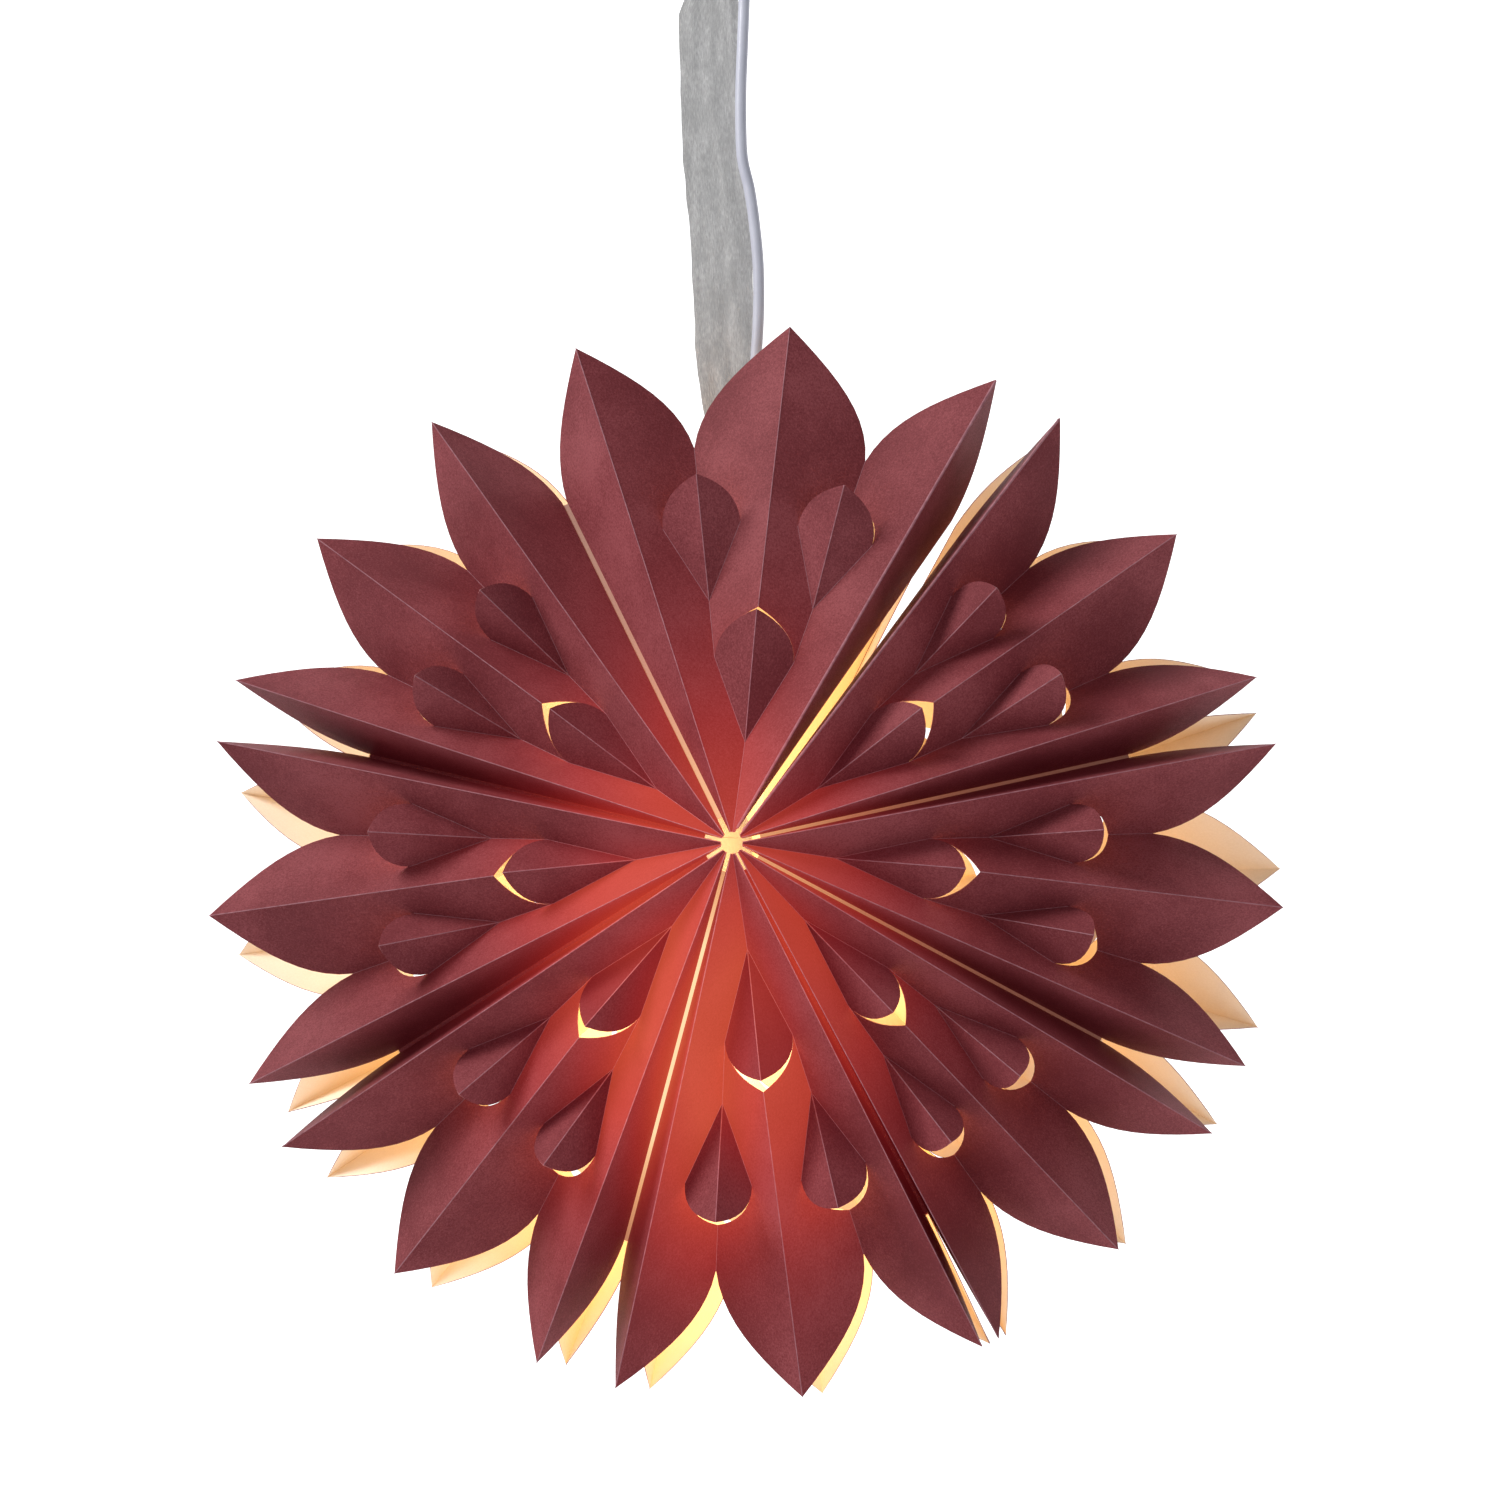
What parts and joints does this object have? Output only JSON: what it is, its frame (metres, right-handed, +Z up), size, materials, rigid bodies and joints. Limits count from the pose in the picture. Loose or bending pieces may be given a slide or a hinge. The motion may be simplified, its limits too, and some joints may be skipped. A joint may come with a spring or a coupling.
{
  "type": "hanging paper star lantern",
  "caption": "Pleated paper star lantern with popped-out leaf flaps and a lamp inside, hung from a ceiling cup by a sheer ribbon and a round cable, with an opening slit.",
  "frame": {"origin": "the middle between the ceiling strap's two screw holes, on the plane of its upper faces, straight above the ribbon's hook", "axes": "+Z up, the star's front faces -Y, +X to the right as seen from the front"},
  "size_m": [0.5963, 0.2064, 0.8969],
  "materials": {
    "burgundy_paper": "matte",
    "white_paper": "matte",
    "steel_wire": "satin",
    "grey_ribbon": "satin",
    "white_cable": "satin",
    "white_plastic": "gloss",
    "white_ceramic": "satin",
    "brass": "polished",
    "bulb_glass": "clear",
    "bright_metal": "polished",
    "black_ceramic": "satin",
    "clear_glass": "clear",
    "filament": "glowing",
    "steel": "satin"
  },
  "bodies": {
    "star and fittings": {"front_segment_1": "burgundy_paper", "front_segment_2": "burgundy_paper", "front_segment_3": "burgundy_paper", "front_segment_4": "burgundy_paper", "front_segment_5": "burgundy_paper", "front_segment_6": "burgundy_paper", "front_segment_7": "burgundy_paper", "front_segment_8": "burgundy_paper", "back_segment_1": "burgundy_paper", "back_segment_2": "burgundy_paper", "back_segment_3": "burgundy_paper", "back_segment_4": "burgundy_paper", "back_segment_5": "burgundy_paper", "back_segment_6": "burgundy_paper", "back_segment_7": "burgundy_paper", "back_segment_8": "burgundy_paper", "front_seam_strips": "white_paper", "back_seam_strips": "white_paper", "rim_tabs": "white_paper", "hanger_wire": "steel_wire", "hanger_patches": "white_paper", "ribbon": "grey_ribbon", "cable": "white_cable", "cord_grip": "white_plastic", "holder_cap": "white_plastic", "holder_shell": "white_plastic", "holder_insulator": "white_ceramic", "thread_sleeve": "brass", "centre_contact": "brass", "ceiling_strap": "steel", "ceiling_cup": "white_plastic", "ribbon_hook": "steel", "hook_nut": "steel", "cable_gland": "white_plastic", "gland_nut": "white_plastic", "terminal_block": "white_plastic"},
    "front left closing panel": {"closing_panel_front_left": "burgundy_paper"},
    "front right closing panel": {"closing_panel_front_right": "burgundy_paper"},
    "back left closing panel": {"closing_panel_back_left": "burgundy_paper"},
    "back right closing panel": {"closing_panel_back_right": "burgundy_paper"},
    "bulb tip": {"bulb_tip_contact": "bright_metal"},
    "bulb": {"bulb_glass": "bulb_glass", "bulb_screw_cap": "bright_metal", "bulb_cap_insulator": "black_ceramic", "filament_stem": "clear_glass", "filaments": "filament"}
  },
  "joints": [
    {"name": "left_panel_swing", "type": "hinge", "parent": "star and fittings", "child": "front left closing panel", "pos_m": [0.01929, -0.103, -0.59681], "axis": [0.4712, 0.1925, 0.8607], "range_deg": [-2.5, 25]},
    {"name": "left_back_swing", "type": "hinge", "parent": "star and fittings", "child": "back left closing panel", "pos_m": [0.01923, 0.103, -0.59681], "axis": [-0.4455, 0.1925, -0.8743], "range_deg": [-2.5, 25]},
    {"name": "right_panel_swing", "type": "hinge", "parent": "star and fittings", "child": "front right closing panel", "pos_m": [0.02159, -0.103, -0.59812], "axis": [-0.5796, -0.1925, -0.7919], "range_deg": [-2.5, 25]},
    {"name": "right_back_swing", "type": "hinge", "parent": "star and fittings", "child": "back right closing panel", "pos_m": [0.02152, 0.103, -0.59803], "axis": [0.5558, -0.1925, 0.8087], "range_deg": [-2.5, 25]},
    {"name": "bulb_travel", "type": "slide", "parent": "star and fittings", "child": "bulb tip", "axis": [0, 0, -1], "range_m": [0, 0.0085]},
    {"name": "bulb_turn", "type": "hinge", "parent": "bulb tip", "child": "bulb", "pos_m": [0.009, -0.01, -0.628], "axis": [0, 0, -1], "range_deg": [0, 1080]}
  ],
  "couplings": [
    {"joint": "left_back_swing", "follows": "left_panel_swing", "ratio": 1},
    {"joint": "right_back_swing", "follows": "right_panel_swing", "ratio": 1},
    {"joint": "bulb_travel", "follows": "bulb_turn", "m_per_rad": 0.00044913}
  ]
}
